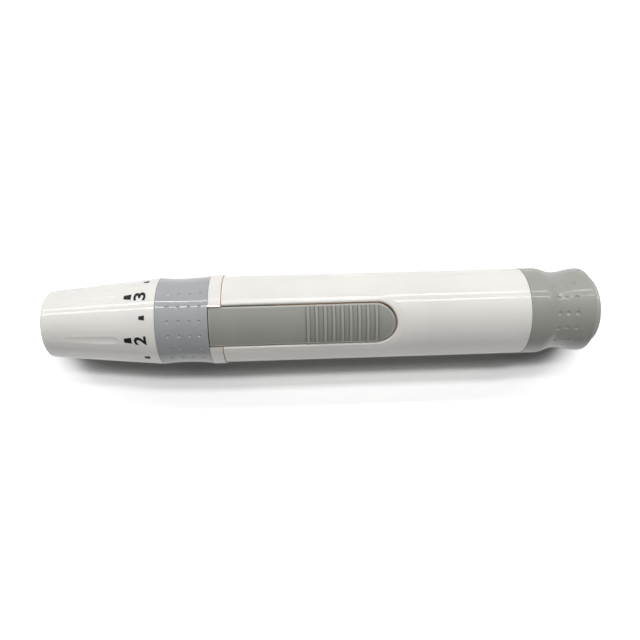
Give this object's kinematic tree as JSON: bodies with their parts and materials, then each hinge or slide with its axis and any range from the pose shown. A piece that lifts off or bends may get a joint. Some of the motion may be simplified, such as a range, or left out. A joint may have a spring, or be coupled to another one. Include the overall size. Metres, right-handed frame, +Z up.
{
  "type": "lancing device",
  "caption": "Pen-shaped lancing device with a turning depth tip, grip ring, ribbed ejector slider, release button and pull-back cocking sleeve.",
  "frame": {"origin": "centre of the bounding box in X and Y, at the lowest point of the collar that the pen lies on", "axes": "X runs along the pen, with the skin end at -X and the cocking end at +X; +Z is up, out of the ejector slider; the release button faces -Z; the pen's axis is 9.46 mm above the origin"},
  "size_m": [0.1148, 0.019, 0.0188],
  "materials": {
    "white_gloss": "glossy white moulded plastic",
    "ring_grey": "glossy bluish-grey plastic",
    "slider_grey": "satin grey plastic",
    "inner_white": "natural white moulded plastic",
    "inner_grey": "grey low-friction plastic",
    "spring_steel": "bright spring wire"
  },
  "bodies": {
    "housing": {"front_collar": "white_gloss", "barrel": "white_gloss", "inner_frame": "inner_white", "guide_bush": "inner_white", "spring_seat_ring": "inner_white", "ejector_spring": "spring_steel", "button_leaf": "spring_steel", "drive_spring": "spring_steel", "return_spring": "spring_steel", "cocking_spring": "spring_steel"},
    "ejector": {"ejector_slider": "slider_grey", "ejector_carriage": "inner_grey"},
    "cap": {"cap_ring": "ring_grey", "cap_liner": "inner_white"},
    "dial": {"tip_dial": "white_gloss", "depth_cam": "inner_white"},
    "button": {"release_button": "slider_grey", "trigger_yoke": "inner_grey"},
    "cocker": {"cocking_sleeve": "slider_grey", "cocking_core": "inner_grey", "end_plug": "slider_grey"},
    "striker": {"lancet_holder": "inner_grey", "striker_rod": "inner_grey", "tail_collar": "inner_grey"}
  },
  "joints": [
    {"name": "eject_slide", "type": "slide", "parent": "housing", "child": "ejector", "axis": [-1, 0, 0], "range_m": [0, 0.01], "stiffness_N_per_m": 60, "deforming": ["ejector_spring"]},
    {"name": "cap_pull", "type": "slide", "parent": "ejector", "child": "cap", "axis": [-1, 0, 0], "range_m": [0, 0.04]},
    {"name": "dial_turn", "type": "hinge", "parent": "cap", "child": "dial", "pos_m": [-0.034, 0, 0.00946], "axis": [1, 0, 0], "range_deg": [-74.5, 165.5]},
    {"name": "button_press", "type": "slide", "parent": "housing", "child": "button", "axis": [0, 0, 1], "range_m": [0, 0.0012], "stiffness_N_per_m": 500, "deforming": ["button_leaf"]},
    {"name": "cock_pull", "type": "slide", "parent": "housing", "child": "cocker", "axis": [1, 0, 0], "range_m": [0, 0.007], "stiffness_N_per_m": 200, "deforming": ["cocking_spring"]},
    {"name": "striker_slide", "type": "slide", "parent": "cocker", "child": "striker", "axis": [1, 0, 0], "range_m": [-0.003, 0.007], "stiffness_N_per_m": 300, "deforming": ["drive_spring", "return_spring"]}
  ]
}
